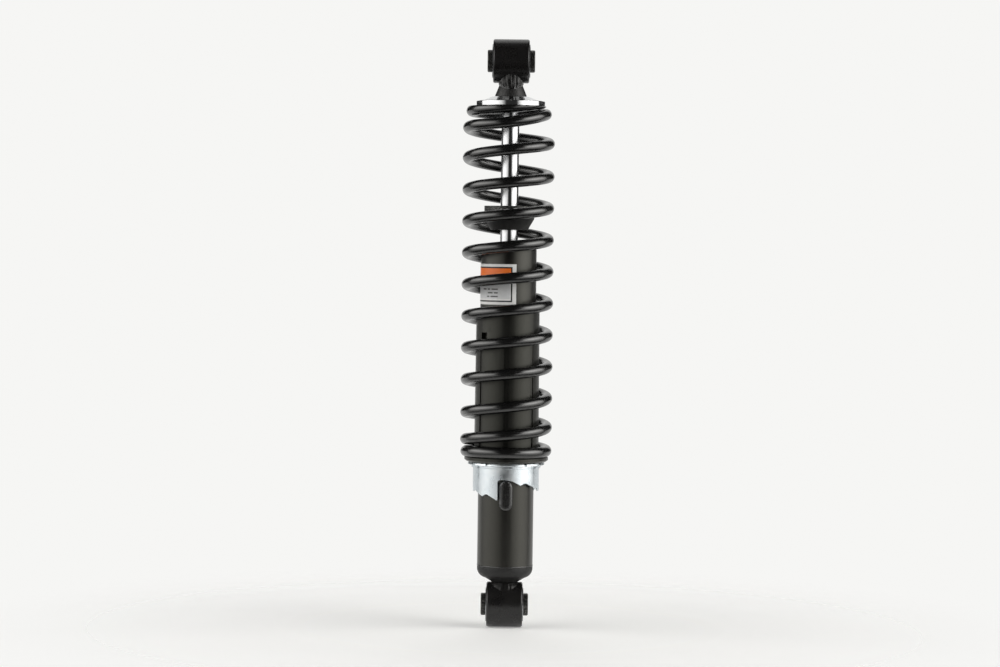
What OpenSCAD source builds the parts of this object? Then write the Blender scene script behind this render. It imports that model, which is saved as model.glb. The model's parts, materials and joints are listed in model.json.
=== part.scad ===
// Coil-over rear shock absorber: twin-tube damper, outer coil spring, stepped preload collar
// and a rubber-bushed eye at each end.
// The origin is the centre of the lower eye's bore. +Z runs up the rod to the upper eye,
// +X runs along both eye bores, and -Y is the front, where one of the two stop lugs sits.

/* [Overall] */
// Distance between the centres of the two eyes, fully extended
eye_to_eye = 390; // [388:0.5:392]

/* [Eyes] */
// Width of each eye ring
eye_width = 26; // [24:0.5:28]
// Outer diameter of the upper eye ring
upper_eye_d = 31.4; // [30:0.2:33]
// Outer diameter of the lower eye ring
lower_eye_d = 32.4; // [31:0.2:32.6]
// Outer diameter of the steel shell pressed into each eye
shell_d = 24; // [23:0.5:25]
// Outer diameter of each inner sleeve
sleeve_d = 16; // [15:0.5:17]
// Length of each inner sleeve
sleeve_len = 34; // [32:0.5:36]
// Diameter of the bolt hole through each sleeve
bolt_hole_d = 10.2; // [8.2:0.1:10.4]

/* [Damper] */
// Outer diameter of the damper tube
tube_d = 40; // [39:0.5:40]
// Height of the damper tube's lower end, where the base cap is welded on
tube_bottom = 28.5; // [28:0.5:29]
// Height of the damper tube's rolled upper end
tube_top = 258; // [257:0.5:259]
// Inner diameter of the pressure tube
bore_d = 29; // [28.5:0.5:29]
// Diameter of the piston rod
rod_d = 12.8; // [12:0.1:13]

/* [Preload collar] */
// Outer diameter of the stepped collar
cam_d = 47.5; // [47:0.1:48]
// Rise from one step to the next
step_rise = 2.7; // [2:0.1:3]
// Number of steps on each half of the collar
cam_steps = 5; // [3:1:5]
// Width of each stop lug
lug_w = 9.9; // [8:0.1:10]
// Height of the stop lugs' upper ends
lug_top = 90.9; // [90:0.1:91]

/* [Spring] */
// Wire diameter
wire_d = 8; // [7:0.1:8.2]
// Outer diameter of the active coils
spring_d = 66; // [65:0.5:67]
// Height of the seat that the spring stands on
spring_seat_z = 106.7; // [106:0.1:107]

/* [Bump stop] */
// Diameter of the bump stop
bump_d = 36; // [30:1:38]
// Height of the bump stop's upper face
bump_top = 286.4; // [284:0.2:288]

/* [Hidden] */
$fn = 96;

eps = 0.01;                          // overshoot of a cut past a face
run = 0.03;                          // radial clearance of a running fit
black = [0.09, 0.09, 0.09];
dark = [0.2, 0.2, 0.19];
zinc = [0.78, 0.82, 0.86];
chrome = [0.9, 0.9, 0.92];
steel = [0.6, 0.61, 0.63];
rubber = [0.13, 0.13, 0.14];

// Bushes
shell_wall = 1;
shell_proud = 0.6;                   // each end of the shell stands this far out of the eye
rubber_len = eye_width - 1;
rubber_dish = 1.2;                   // depth of the hollow in each end of the rubber
edge_round = 1.4;                    // rounding of the eye rings' outer edges

// Damper, from the bottom up
tube_wall = 2;
tube_r = tube_d / 2;
tube_in_r = tube_r - tube_wall;
cap_bottom = 16.3;
cap_neck_r = 9;
stud_r = 6;
stud_top = 26.5;
valve_ledge_z = tube_bottom + 3.5;
pressure_wall = 1.5;
bore_r = bore_d / 2;
pressure_r = bore_r + pressure_wall;
pressure_bottom = valve_ledge_z + 4;
guide_shoulder_z = tube_top - 22;
guide_bottom = guide_shoulder_z - 6;
guide_top = tube_top - 7.8;
seal_bottom = guide_top - 6;
bush_r = 7.6;
seal_r = 11.5;
lip_round = 3.5;
rod_r = rod_d / 2;

// Rod and piston
retainer_top = eye_to_eye - 25.2;
retainer_under = retainer_top - 7;
retainer_boss_z = retainer_under - 2;
shank_bottom = guide_bottom - 18;    // below here the rod is turned down for the piston
spigot_r = 4;
shim_stack = 3;
piston_len = 13;
piston_top = shank_bottom - shim_stack;
piston_bottom = piston_top - piston_len;
nut_top = piston_bottom - shim_stack;
nut_len = 7;
band_len = 7;
band_z = piston_bottom + 3;
band_in_r = bore_r - 1.5;
upper_stud_r = 5;
upper_stud_top = eye_to_eye - 13.5;

// Spring seat and preload collar
seat_ring_z = spring_seat_z - 3.4;
sleeve_top = 211;
sleeve_in_r = tube_r + 0.45;
sleeve_top_r = 22.7;
sleeve_foot_r = 23.2;
groove_count = 7;
groove_w = 3.2;
groove_depth = 0.8;
groove_top = 189;
cam_r = cam_d / 2;
cam_in_r = tube_r + 0.1;
lug_r = tube_r + 2.3;
skirt_in_r = lug_r + 0.15;           // inside this radius the collar has a plain ramp
lug_len = 21.9;
step_angle = 36;
seat0_z = lug_top + 0.4;             // height of the deepest step's roof at the front
ramp0_z = lug_top + 0.2;             // height of the plain ramp above the lug
wall_angle = 14.7;                   // the vertical wall stands this far before the lug
tip_angle = 26.6;                    // a tooth's tip stands this far after its step
tip_drop = 4.2;
tooth_drop = 1.5;                    // a tip is this far below the roof of the next step
cam_bottom = seat0_z - (cam_steps - 1) * step_rise - tip_drop + 0.3;
flange_top = seat_ring_z - 0.02;

// Spring: height of the wire's centre at each half-turn, from each ground end inwards
spring_half_turns = 26;
end_rise_low = [-3.6, 3.6, 4.4, 12.2, 21.3, 31.6];
end_drop_high = [-2.4, 3.5, 5.6, 15.5, 26.5];
coil_skew = 0.8;                     // the coils lean, so each is lower on its +X side
strand_dips = [[23, 2.2], [25, 1.2]]; // front strands that dip: half-turn they start at, mm
coil_offset = [-0.3, -1.1];          // sideways offset of the coils along X, at the bottom and the top
mean_r = (spring_d - wire_d) / 2;
spring_top_z = retainer_under - 0.05;
rings_per_turn = 20;
wire_sides = 10;

// Points of an arc of radius r about [cx, cy], from angle a0 to a1
function arc(cx, cy, r, a0, a1, n = 6) =
    [for (i = [0 : n]) [cx + r * cos(a0 + (a1 - a0) * i / n), cy + r * sin(a0 + (a1 - a0) * i / n)]];

function mix(a, b, t) = a + (b - a) * t;

function smooth_step(t) = let (c = min(max(t, 0), 1)) c * c * (3 - 2 * c);

// A ring of revolution about Z, between two radii and two heights
module ring(r_in, r_out, z0, z1) {
    difference() {
        translate([0, 0, z0])
            cylinder(h = z1 - z0, r = r_out);
        translate([0, 0, z0 - eps])
            cylinder(h = z1 - z0 + 2 * eps, r = r_in);
    }
}

// The skin over a row of sections, each with the same number of points
module skin(sides, parts, points) {
    walls = [for (i = [0 : parts - 1], j = [0 : sides - 1])
        let (k = (j + 1) % sides, a = i * sides, b = a + sides)
        each [[a + j, a + k, b + k], [a + j, b + k, b + j]]];
    first = [for (j = [0 : sides - 1]) sides - 1 - j];
    last = [for (j = [0 : sides - 1]) parts * sides + j];
    polyhedron(points = points, faces = concat(walls, [first, last]), convexity = 20);
}

// Turns a child that is built about Z so that it is built about X, at height z
module across(z) {
    translate([0, 0, z])
        rotate([0, 90, 0])
            children();
}

// ---------------------------------------------------------------- eyes and bushes

// The outer body of an eye ring, before its bore is cut
module eye_blank(d, z) {
    half = eye_width / 2;
    r = d / 2;
    across(z)
        rotate_extrude()
            polygon(concat(
                [[0, -half]],
                arc(r - edge_round, -half + edge_round, edge_round, -90, 0),
                arc(r - edge_round, half - edge_round, edge_round, 0, 90),
                [[0, half]]
            ));
}

module eye_bore(z) {
    across(z)
        translate([0, 0, -eye_width / 2 - eps])
            cylinder(h = eye_width + 2 * eps, r = shell_d / 2);
}

module bush_shell(z) {
    half = eye_width / 2 + shell_proud;
    across(z)
        ring(shell_d / 2 - shell_wall, shell_d / 2, -half, half);
}

module bush_rubber(z) {
    r_in = sleeve_d / 2 + run;
    r_out = shell_d / 2 - shell_wall;
    half = rubber_len / 2;
    r_mid = (r_in + r_out) / 2;
    across(z)
        rotate_extrude()
            polygon([
                [r_in, -half], [r_mid, -half + rubber_dish], [r_out, -half],
                [r_out, half], [r_mid, half - rubber_dish], [r_in, half]
            ]);
}

module bush_sleeve(z) {
    chamfer = 0.6;
    r = sleeve_d / 2;
    half = sleeve_len / 2;
    across(z)
        rotate_extrude()
            polygon([
                [bolt_hole_d / 2, -half], [r - chamfer, -half], [r, -half + chamfer],
                [r, half - chamfer], [r - chamfer, half], [bolt_hole_d / 2, half]
            ]);
}

module lower_sleeve() {
    color(dark)
        bush_sleeve(0);
}

module lower_bush_rubber() {
    color(rubber)
        bush_rubber(0);
}

module lower_bush_shell() {
    color(steel)
        bush_shell(0);
}

module lower_eye() {
    color(black)
        difference() {
            union() {
                eye_blank(lower_eye_d, 0);
                cylinder(h = cap_bottom, r = cap_neck_r);
                cylinder(h = stud_top, r = stud_r);
            }
            eye_bore(0);
        }
}

module upper_sleeve() {
    color(dark)
        bush_sleeve(eye_to_eye);
}

module upper_bush_rubber() {
    color(rubber)
        bush_rubber(eye_to_eye);
}

module upper_bush_shell() {
    color(steel)
        bush_shell(eye_to_eye);
}

// The upper ring with its neck, which flares into the shoulder that holds the spring retainer
module upper_eye() {
    neck_r = 8.2;
    shoulder_r = 11.2;
    flare_z = retainer_top + 7.2;
    color(black)
        difference() {
            union() {
                eye_blank(upper_eye_d, eye_to_eye);
                rotate_extrude()
                    polygon([
                        [0, retainer_top], [shoulder_r, retainer_top], [shoulder_r, retainer_top + 0.6],
                        [neck_r + 0.5, flare_z - 0.4], [neck_r, flare_z + 0.8],
                        [neck_r, eye_to_eye - shell_d / 2], [0, eye_to_eye - shell_d / 2]
                    ]);
            }
            eye_bore(eye_to_eye);
            translate([0, 0, retainer_top - eps])
                cylinder(h = upper_stud_top - retainer_top + 0.3, r = upper_stud_r);
        }
}

// ---------------------------------------------------------------- damper body

// Domed cap that closes the tube, with a ledge for the base valve and slots to the reserve space
module base_cap() {
    dome_r = 7;
    side_z = tube_bottom - 2.1;
    slot_w = 4;
    color(dark)
        difference() {
            rotate_extrude()
                polygon(concat(
                    [[stud_r, cap_bottom], [cap_neck_r, cap_bottom]],
                    arc(tube_r - dome_r, side_z, dome_r, -76, 0, 8),
                    [
                        [tube_r, tube_bottom], [tube_in_r - 0.05, tube_bottom],
                        [tube_in_r - 0.05, valve_ledge_z + 1.5], [pressure_r + 0.05, valve_ledge_z + 1.5],
                        [pressure_r + 0.05, valve_ledge_z], [12, valve_ledge_z],
                        [12, stud_top + 0.5], [stud_r, stud_top + 0.5]
                    ]
                ));
            for (a = [0, 90, 180, 270])
                rotate([0, 0, a])
                    translate([stud_r + 4, -slot_w / 2, tube_bottom + 0.5])
                        cube([tube_r, slot_w, 6]);
        }
}

// Main tube, with its upper end rolled in over the top cap
module damper_tube() {
    lip_r = 16;
    color(dark)
        rotate_extrude()
            polygon(concat(
                [[tube_in_r, tube_bottom], [tube_r, tube_bottom]],
                arc(tube_r - lip_round, tube_top - lip_round, lip_round, 0, 90),
                [
                    [lip_r, tube_top], [lip_r, tube_top - tube_wall],
                    [tube_in_r, tube_top - tube_wall]
                ]
            ));
}

// Outline of a stop lug: a slot shape with round ends
module lug_outline() {
    half = lug_w / 2;
    low = lug_top - lug_len + half;
    high = lug_top - half;
    translate([-half, low])
        square([lug_w, high - low]);
    for (z = [low, high])
        translate([0, z])
            circle(r = half);
}

module stop_lugs() {
    color(black)
        for (a = [0, 180])
            rotate([0, 0, a])
                intersection() {
                    rotate([90, 0, 0])
                        linear_extrude(height = lug_r + 1)
                            lug_outline();
                    ring(tube_r, lug_r, lug_top - lug_len - 1, lug_top + 1);
                }
}

module identity_label() {
    label_angle = 150;
    label_end = -74;                 // its right edge, just past the front towards +X
    color("orange")
        rotate([0, 0, label_end - label_angle])
            rotate_extrude(angle = label_angle)
                translate([tube_r, 215.9])
                    square([0.15, 29]);
}

module pressure_tube() {
    color(steel)
        ring(bore_r, pressure_r, pressure_bottom, guide_shoulder_z);
}

// ---------------------------------------------------------------- base valve

module base_valve_body() {
    port_circle = 8;
    color(steel)
        difference() {
            union() {
                translate([0, 0, valve_ledge_z])
                    cylinder(h = pressure_bottom - valve_ledge_z, r = pressure_r);
                translate([0, 0, pressure_bottom])
                    cylinder(h = 8, r = bore_r - 0.02);
            }
            translate([0, 0, valve_ledge_z - eps])
                cylinder(h = 13, r = 3);
            for (a = [0 : 60 : 300])
                rotate([0, 0, a])
                    translate([port_circle, 0, valve_ledge_z - eps])
                        cylinder(h = 13, r = 1.3);
        }
}

// Three discs, each smaller than the one under it
module shim_pile(z, direction) {
    for (i = [0 : 2])
        mirror([0, 0, direction < 0 ? 1 : 0])
            ring(spigot_r, 11 - 1.8 * i, direction * z + i, direction * z + i + 1);
}

module base_valve_shims() {
    color(steel)
        for (i = [0 : 2])
            ring(3, 10 - 1.5 * i, pressure_bottom + 8 + 0.4 * i, pressure_bottom + 8.4 + 0.4 * i);
}

module base_valve_bolt() {
    head_z = pressure_bottom + 9.2;
    color(steel) {
        translate([0, 0, valve_ledge_z - 1.5])
            cylinder(h = head_z - valve_ledge_z + 1.5, r = 3);
        translate([0, 0, head_z])
            cylinder(h = 4, r = 5 / cos(30), $fn = 6);
    }
}

// ---------------------------------------------------------------- rod guide and seals

module rod_guide() {
    groove_z = guide_top - 5;
    color(steel)
        difference() {
            union() {
                translate([0, 0, guide_shoulder_z])
                    cylinder(h = guide_top - guide_shoulder_z, r = tube_in_r - 0.05);
                translate([0, 0, guide_bottom])
                    cylinder(h = 6, r = bore_r - 0.03);
            }
            translate([0, 0, guide_bottom - eps])
                cylinder(h = guide_top - guide_bottom + 1, r = bush_r);
            translate([0, 0, seal_bottom])
                cylinder(h = 10, r = seal_r);
            ring(tube_in_r - 2, tube_in_r + 1, groove_z - 1.3, groove_z + 1.3);
        }
}

module rod_guide_bush() {
    color([0.72, 0.5, 0.28])
        ring(rod_r + run, bush_r, guide_bottom, seal_bottom);
}

module guide_o_ring() {
    section_r = 0.97;
    color(black)
        translate([0, 0, guide_top - 5])
            rotate_extrude()
                translate([tube_in_r - 1, 0])
                    circle(r = section_r, $fn = 24);
}

module rod_seal() {
    r_in = rod_r + run;
    color(black)
        rotate_extrude()
            polygon([
                [r_in, seal_bottom + 1.5], [r_in + 1.2, seal_bottom], [r_in + 2, seal_bottom + 2.5],
                [r_in + 3, seal_bottom], [seal_r, seal_bottom], [seal_r, guide_top], [r_in + 1, guide_top],
                [r_in, guide_top - 1]
            ]);
}

module top_cap() {
    hub_r = 13;
    wiper_seat_r = 8.6;
    color(dark)
        rotate_extrude()
            polygon([
                [wiper_seat_r, guide_top], [tube_in_r - 0.05, guide_top],
                [tube_in_r - 0.05, tube_top - tube_wall], [hub_r + 2, tube_top - tube_wall],
                [hub_r, tube_top], [hub_r - 0.8, tube_top + 0.8], [wiper_seat_r, tube_top + 0.8]
            ]);
}

module dust_wiper() {
    r_in = rod_r + run;
    seat_r = 8.6;
    color(black)
        rotate_extrude()
            polygon([
                [r_in + 0.9, guide_top + 1], [seat_r, guide_top + 1], [seat_r, tube_top + 0.8],
                [10.4, tube_top + 0.8], [9.8, tube_top + 1.9], [r_in + 0.6, tube_top + 2.6],
                [r_in, tube_top + 2.6], [r_in, tube_top + 1.2], [r_in + 0.9, tube_top - 0.5]
            ]);
}

// ---------------------------------------------------------------- spring seat and preload collar

module seat_ring() {
    outer_r = 30.1;
    color(black)
        rotate_extrude()
            polygon([
                [sleeve_in_r, seat_ring_z], [outer_r - 1.6, seat_ring_z], [outer_r, seat_ring_z + 1.2],
                [outer_r, spring_seat_z - 0.4], [outer_r - 0.4, spring_seat_z],
                [sleeve_in_r, spring_seat_z]
            ]);
}

// Plastic tube that keeps the spring off the damper, with grooves and one window
module spring_guide_sleeve() {
    window_w = 7;
    window_h = 8;
    window_turn = -46;
    color(black)
        difference() {
            rotate_extrude()
                polygon([
                    [sleeve_in_r, spring_seat_z], [sleeve_foot_r, spring_seat_z],
                    [sleeve_top_r, sleeve_top - 0.8], [sleeve_top_r - 0.8, sleeve_top],
                    [sleeve_in_r, sleeve_top]
                ]);
            for (i = [0 : groove_count - 1])
                rotate([0, 0, 360 / groove_count * i - 2])
                    translate([-groove_w / 2, -sleeve_foot_r - 1, spring_seat_z + 5])
                        cube([groove_w, 1 + groove_depth, groove_top - spring_seat_z - 5]);
            rotate([0, 0, window_turn])
                translate([-window_w / 2, -sleeve_foot_r - 1, groove_top - 1])
                    cube([window_w, 6, window_h]);
        }
}

// The line from p to q, run on past q by some degrees
function run_on(p, q, by) = q + (q - p) * by / (q[0] - p[0]);

// Roof line of one step, as [tangential distance, height] pairs, where x grows past the lug.
// Each line runs on past the tooth's tip into the next cut, so that the cuts overlap
function step_roof(k) =
    let (
        roof = seat0_z - k * step_rise,
        end_angle = k == cam_steps - 1 ? 180 - wall_angle - k * step_angle : tip_angle,
        first = k == 0
            ? [[-wall_angle, -2.2], [-13.5, -0.7], [-10, 0], [6, 0], [9, -0.6]]
            : [
                run_on([-3.5, -0.2], [tip_angle - step_angle, -tooth_drop], -2),
                [-3.5, -0.2], [-2, 0], [1, 0], [3, -0.3]
            ],
        last = run_on(first[len(first) - 1], [end_angle, -tip_drop], 3)
    )
    [for (p = concat(first, [last])) [cam_r * sin(p[0]), roof + p[1]]];

// Everything below one step's roof line, as a prism that points outwards
module step_cut(k) {
    roof = step_roof(k);
    last = roof[len(roof) - 1];
    rotate([90, 0, 0])
        linear_extrude(height = cam_r + 1)
            polygon(concat([[roof[0][0], cam_bottom - 5]], roof, [[last[0], cam_bottom - 5]]));
}

// Everything below the plain ramp of one half of the collar. Its lower end runs on past the wall
module ramp_cut() {
    parts = 19;
    r_in = cam_in_r - 1;
    r_out = skirt_in_r + 0.15;
    low = cam_bottom - 5;
    skin(4, parts, [for (i = [0 : parts])
        let (
            a = i * 180 / (parts - 1) - wall_angle,
            roof = ramp0_z - a * step_rise / step_angle
        )
        each [for (p = [[r_out, low], [r_out, roof], [r_in, roof], [r_in, low]])
            [p[0] * sin(a), -p[0] * cos(a), p[1]]]]);
}

// Stepped collar and its notched flange. The steps show on the skirt; the lug bears on the ramp
// inside it, and a hook spanner takes hold in a notch
module preload_cam() {
    tabs = 4;
    tab_angle = 64;
    tab_r = 24.9;
    flange_r = 27.6;
    notches = 6;
    notch_w = 2.4;
    notch_depth = 1.2;
    tab_z = flange_top - 4.3;
    flange_z = flange_top - 2.3;
    color(zinc)
        difference() {
            union() {
                translate([0, 0, cam_bottom])
                    cylinder(h = flange_top - cam_bottom, r = cam_r);
                for (i = [0 : tabs - 1])
                    rotate([0, 0, 360 / tabs * i - 90 - tab_angle / 2])
                        rotate_extrude(angle = tab_angle)
                            translate([cam_r - 1, tab_z])
                                square([tab_r - cam_r + 1, flange_z - tab_z + eps]);
                rotate_extrude()
                    polygon([
                        [cam_r - 1, flange_z], [flange_r - 0.4, flange_z], [flange_r, flange_z + 0.4],
                        [flange_r - 0.5, flange_top - 0.3], [flange_r - 0.8, flange_top],
                        [cam_r - 1, flange_top]
                    ]);
            }
            translate([0, 0, cam_bottom - 1])
                cylinder(h = flange_top - cam_bottom + 2, r = cam_in_r);
            for (i = [0 : notches - 1])
                rotate([0, 0, 360 / notches * (i + 0.5)])
                    translate([-notch_w / 2, -flange_r - 1, flange_z - 1])
                        cube([notch_w, 1 + notch_depth, flange_top - flange_z + 2]);
            difference() {
                for (side = [0, 180], k = [0 : cam_steps - 1])
                    rotate([0, 0, side + k * step_angle])
                        step_cut(k);
                translate([0, 0, cam_bottom - 10])
                    cylinder(h = 40, r = skirt_in_r);
            }
            for (side = [0, 180])
                rotate([0, 0, side])
                    ramp_cut();
        }
}

// ---------------------------------------------------------------- main spring

// Height of the wire's centre after i half-turns, counted from the lower end
function half_turn_z(i) =
    let (
        n_low = len(end_rise_low) - 1,
        n_high = spring_half_turns - len(end_drop_high) + 1,
        z_low = spring_seat_z + end_rise_low[n_low],
        z_high = spring_top_z - end_drop_high[len(end_drop_high) - 1],
        lean = i % 2 == 1 ? coil_skew : -coil_skew
    )
    i <= n_low ? spring_seat_z + end_rise_low[max(i, 0)]
    : i >= n_high ? spring_top_z - end_drop_high[spring_half_turns - min(i, spring_half_turns)]
    : mix(z_low, z_high, (i - n_low) / (n_high - n_low)) + lean;

// A smooth curve through four evenly spaced values, between the middle two
function smooth_between(a, b, c, d, t) =
    b + t / 2 * (c - a + t * (2 * a - 5 * b + 4 * c - d + t * (3 * (b - c) + d - a)));

function dip_at(h) =
    let (
        dips = [
            for (dip = strand_dips)
                if (h > dip[0] && h < dip[0] + 1)
                    dip[1] * pow(sin(180 * (h - dip[0])), 2)
        ]
    )
    len(dips) > 0 ? dips[0] : 0;

function wire_z(h) =
    let (i = min(floor(h), spring_half_turns - 1))
    smooth_between(half_turn_z(i - 1), half_turn_z(i), half_turn_z(i + 1), half_turn_z(i + 2), h - i)
    - dip_at(h);

// The upper end winds inwards onto the retainer, and the lower end a little
function wire_r(h) =
    mean_r - 0.4 * (1 - smooth_step(h / 4))
    - 2.4 * smooth_step(h - spring_half_turns + 3) - 3 * smooth_step(h - spring_half_turns + 1);

function wire_x(h) = mix(coil_offset[0], coil_offset[1], h / spring_half_turns);

// One side of the wire's section, from angle a0 to a1, on the outer (+1) or inner (-1) side
function half_section(side, a0, a1) =
    [for (j = [0 : wire_sides / 2 - 1])
        let (a = mix(a0, a1, j / (wire_sides / 2 - 1)))
        wire_d / 2 * [side * cos(a), sin(a)]];

// Angle on the wire's section where a level plane cuts it
function cut_angle(plane_z, centre_z) =
    let (limit = 90 - 180 / wire_sides)
    asin(min(max((plane_z - centre_z) / (wire_d / 2), -sin(limit)), sin(limit)));

// One ring of the wire's skin, ground flat where it would pass the seat or the retainer
function wire_ring(h) =
    let (
        z = wire_z(h),
        low = cut_angle(spring_seat_z, z),
        high = cut_angle(spring_top_z, z),
        section = concat(half_section(1, low, high), half_section(-1, high, low))
    )
    [for (p = section)
        let (r = wire_r(h) + p[0])
        [r * cos(180 * h) + wire_x(h), r * sin(180 * h), z + p[1]]];

module main_spring() {
    start = 0.25;
    parts = round((spring_half_turns - start) / 2 * rings_per_turn);
    color(black)
        skin(wire_sides, parts, [for (i = [0 : parts])
            each wire_ring(start + (spring_half_turns - start) * i / parts)]);
}

// ---------------------------------------------------------------- rod, piston and stops

module piston_band() {
    color([0.5, 0.42, 0.3])
        ring(band_in_r + run, bore_r - run, band_z + 0.05, band_z + band_len - 0.05);
}

module piston_rod() {
    color(chrome) {
        translate([0, 0, nut_top - nut_len - 2])
            cylinder(h = shank_bottom - nut_top + nut_len + 2, r = spigot_r);
        translate([0, 0, shank_bottom])
            cylinder(h = retainer_top - shank_bottom, r = rod_r);
        translate([0, 0, retainer_top])
            cylinder(h = upper_stud_top - retainer_top, r = upper_stud_r);
    }
}

module piston() {
    port_circle = 9;
    color(steel)
        difference() {
            translate([0, 0, piston_bottom])
                cylinder(h = piston_len, r = bore_r - 0.2);
            translate([0, 0, piston_bottom - 1])
                cylinder(h = piston_len + 2, r = spigot_r);
            ring(band_in_r, bore_r + 1, band_z, band_z + band_len);
            for (a = [0 : 60 : 300])
                rotate([0, 0, a])
                    translate([port_circle, 0, piston_bottom - 1])
                        cylinder(h = piston_len + 2, r = 1.4);
        }
}

module compression_shims() {
    color(steel)
        shim_pile(piston_top, 1);
}

module rebound_shims() {
    color(steel)
        shim_pile(piston_bottom, -1);
}

module piston_nut() {
    color(steel)
        difference() {
            translate([0, 0, nut_top - nut_len])
                cylinder(h = nut_len, r = 6.5 / cos(30), $fn = 6);
            translate([0, 0, nut_top - nut_len - 1])
                cylinder(h = nut_len + 2, r = spigot_r);
        }
}

module rebound_stop() {
    color([0.85, 0.85, 0.8])
        ring(rod_r, 11, guide_bottom - 8, guide_bottom - 0.05);
}

// Rubber body that tapers to its lower end
module bump_stop() {
    r = bump_d / 2;
    r_in = rod_r + run;
    top = bump_top - 3;
    color(rubber)
        rotate_extrude()
            polygon([
                [r_in, top], [r - 0.6, top], [r, top - 0.8], [r, top - 5.2], [r - 0.5, top - 6.6],
                [r - 3.4, top - 12], [r - 3.8, top - 13.3], [r - 4.4, top - 14.1], [r_in, top - 14.1]
            ]);
}

module bump_stop_washer() {
    color(dark)
        ring(rod_r + 0.2, bump_d / 2, bump_top - 3, bump_top);
}

module spring_retainer() {
    rim_r = 24.9;
    boss_r = 17.5;
    rim_top = retainer_under + 3.6;
    color(chrome)
        rotate_extrude()
            polygon([
                [rod_r, retainer_boss_z], [boss_r, retainer_boss_z], [boss_r, retainer_under],
                [rim_r - 0.3, retainer_under], [rim_r, retainer_under + 0.3],
                [rim_r, rim_top - 0.3], [rim_r - 0.3, rim_top], [20.5, rim_top + 0.2],
                [14.2, retainer_top - 0.4], [11.6, retainer_top], [rod_r, retainer_top]
            ]);
}

// ---------------------------------------------------------------- what is drawn

lower_sleeve();
lower_bush_rubber();
lower_bush_shell();
lower_eye();
base_cap();
damper_tube();
stop_lugs();
identity_label();
pressure_tube();
base_valve_body();
base_valve_shims();
base_valve_bolt();
rod_guide();
rod_guide_bush();
guide_o_ring();
rod_seal();
top_cap();
dust_wiper();
seat_ring();
spring_guide_sleeve();
main_spring();
preload_cam();
piston_band();
piston_rod();
piston();
compression_shims();
rebound_shims();
piston_nut();
rebound_stop();
bump_stop();
bump_stop_washer();
spring_retainer();
upper_eye();
upper_bush_shell();
upper_bush_rubber();
upper_sleeve();
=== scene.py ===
import json
import math

import bmesh
import bpy
from mathutils import Matrix, Vector

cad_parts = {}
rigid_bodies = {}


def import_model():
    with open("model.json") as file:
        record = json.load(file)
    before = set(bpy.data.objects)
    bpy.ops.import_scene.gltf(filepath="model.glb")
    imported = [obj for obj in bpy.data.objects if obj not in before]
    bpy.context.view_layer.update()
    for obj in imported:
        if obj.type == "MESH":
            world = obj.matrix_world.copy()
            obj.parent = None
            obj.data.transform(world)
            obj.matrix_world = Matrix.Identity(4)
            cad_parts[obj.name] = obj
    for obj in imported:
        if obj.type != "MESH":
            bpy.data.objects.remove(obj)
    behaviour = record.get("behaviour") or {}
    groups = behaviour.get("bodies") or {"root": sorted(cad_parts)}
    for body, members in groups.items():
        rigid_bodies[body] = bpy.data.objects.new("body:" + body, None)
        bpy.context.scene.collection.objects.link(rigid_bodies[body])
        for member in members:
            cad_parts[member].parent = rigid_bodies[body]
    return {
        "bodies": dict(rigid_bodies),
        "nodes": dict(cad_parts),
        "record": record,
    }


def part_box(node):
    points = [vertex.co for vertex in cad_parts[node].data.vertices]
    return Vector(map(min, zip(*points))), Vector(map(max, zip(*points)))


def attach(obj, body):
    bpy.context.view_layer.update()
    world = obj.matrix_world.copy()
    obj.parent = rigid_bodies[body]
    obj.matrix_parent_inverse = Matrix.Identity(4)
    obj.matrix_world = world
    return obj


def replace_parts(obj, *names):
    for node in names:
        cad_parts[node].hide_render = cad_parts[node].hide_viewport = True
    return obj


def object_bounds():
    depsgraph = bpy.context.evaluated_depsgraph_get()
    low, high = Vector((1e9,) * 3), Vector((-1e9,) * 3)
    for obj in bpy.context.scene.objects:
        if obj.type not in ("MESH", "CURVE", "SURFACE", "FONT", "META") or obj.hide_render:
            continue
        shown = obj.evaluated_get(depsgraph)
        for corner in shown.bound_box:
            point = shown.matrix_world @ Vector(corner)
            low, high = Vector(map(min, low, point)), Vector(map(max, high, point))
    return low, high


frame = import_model()
cad_low, cad_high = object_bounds()

MM = 0.001


# ---------------------------------------------------------------- numbers and curves

def mix(a, b, t):
    return a + (b - a) * t


def clamp(x, low=0.0, high=1.0):
    return max(low, min(high, x))


def smooth_step(t):
    t = clamp(t)
    return t * t * (3 - 2 * t)


def line_at(points, x):
    """Height at x of a line through (x, height) points, or None outside it."""
    if not points[0][0] <= x <= points[-1][0]:
        return None
    for (x0, y0), (x1, y1) in zip(points, points[1:]):
        if x <= x1:
            return mix(y0, y1, (x - x0) / (x1 - x0))


def rounded(outline, radius, steps=4):
    """A closed outline of (r, z) points with every corner rounded."""
    points = []
    n = len(outline)
    for i, corner in enumerate(outline):
        before = Vector(outline[i - 1]) - Vector(corner)
        after = Vector(outline[(i + 1) % n]) - Vector(corner)
        turn = before.angle(after)
        reach = min(radius / math.tan(turn / 2), 0.45 * before.length, 0.45 * after.length)
        start = Vector(corner) + before.normalized() * reach
        end = Vector(corner) + after.normalized() * reach
        for j in range(steps + 1):
            t = j / steps
            bent = start.lerp(Vector(corner), t).lerp(Vector(corner).lerp(end, t), t)
            points.append((bent.x, bent.y))
    return points


# ---------------------------------------------------------------- meshes

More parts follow.
